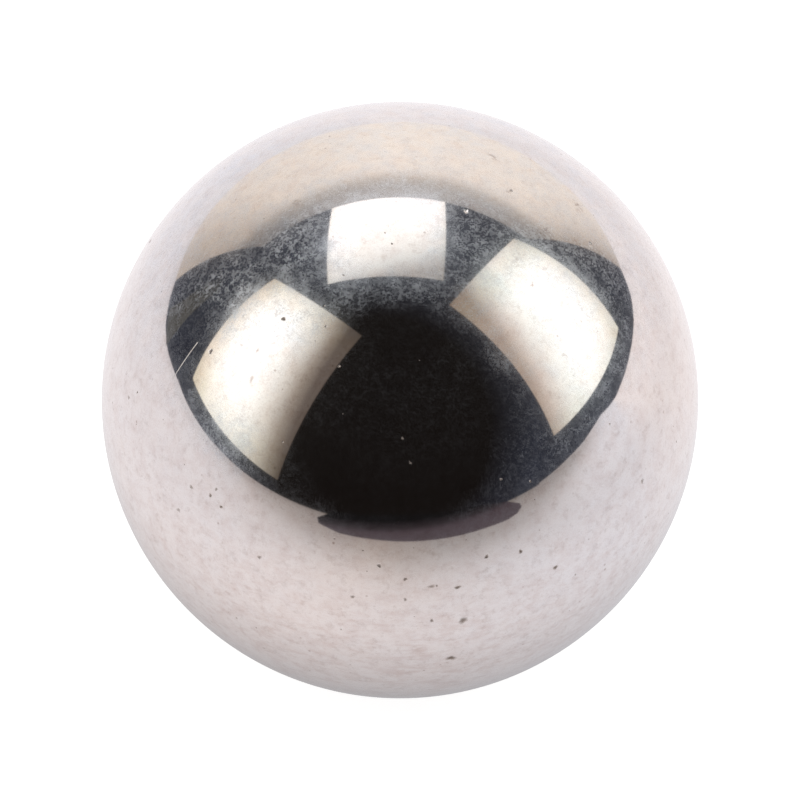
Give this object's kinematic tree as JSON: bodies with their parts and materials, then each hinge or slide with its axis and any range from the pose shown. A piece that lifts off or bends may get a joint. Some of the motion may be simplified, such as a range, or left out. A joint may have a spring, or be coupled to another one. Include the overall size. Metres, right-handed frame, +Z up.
{
  "type": "steel ball",
  "caption": "Solid polished steel ball, a plain sphere lapped all over, to roll, drop, hang on a magnet or rest in a cup.",
  "frame": {"origin": "centre of the ball", "axes": "+Z up; the ball looks the same along every axis, and -Z points to where it touches what it lies on"},
  "size_m": [0.025, 0.025, 0.025],
  "materials": {
    "lapped_steel": "polished"
  },
  "bodies": {
    "root": {"ball": "lapped_steel"}
  },
  "joints": []
}
